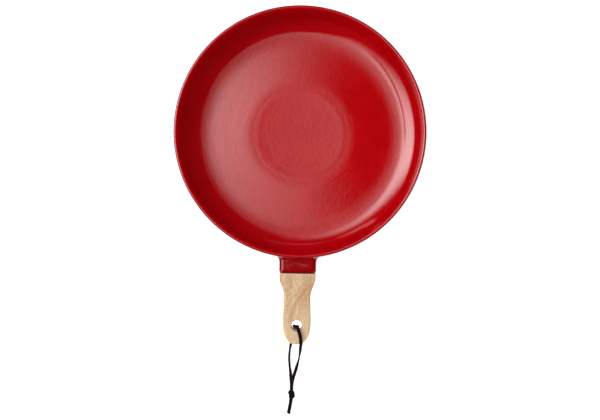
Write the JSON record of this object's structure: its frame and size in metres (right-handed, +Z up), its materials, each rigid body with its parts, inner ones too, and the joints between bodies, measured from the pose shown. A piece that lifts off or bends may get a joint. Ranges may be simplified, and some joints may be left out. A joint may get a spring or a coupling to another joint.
{
  "type": "skillet",
  "caption": "Round enamelled cast iron skillet with upright walls, a short cast stub, a waisted wooden handle with a hanging hole, and a knotted leather thong.",
  "frame": {"origin": "centre of the pan's base, on the surface that the skillet stands on", "axes": "+Z up, out of the open side of the pan; the handle runs along -Y from the pan, so +Y points from the handle to the pan; +X to the right when seen from above with the handle towards the viewer"},
  "size_m": [0.26, 0.4281, 0.0451],
  "materials": {
    "red_enamel": "glossy red vitreous enamel over cast iron",
    "handle_wood": "pale fine-grained hardwood, sanded and lightly oiled",
    "screw_steel": "plain stainless steel",
    "thong_leather": "dark brown flat leather lace"
  },
  "bodies": {
    "skillet": {"pan": "red_enamel", "handle": "handle_wood", "handle_screw_inner": "screw_steel", "handle_screw_outer": "screw_steel"},
    "thong": {"thong_front": "thong_leather", "thong_back": "thong_leather", "thong_knot": "thong_leather", "thong_tails": "thong_leather"}
  },
  "joints": [
    {"name": "thong_swing", "type": "hinge", "parent": "skillet", "child": "thong", "pos_m": [0, -0.1995, 0.03075], "axis": [0, 0, 1], "range_deg": [-90, 90]}
  ]
}
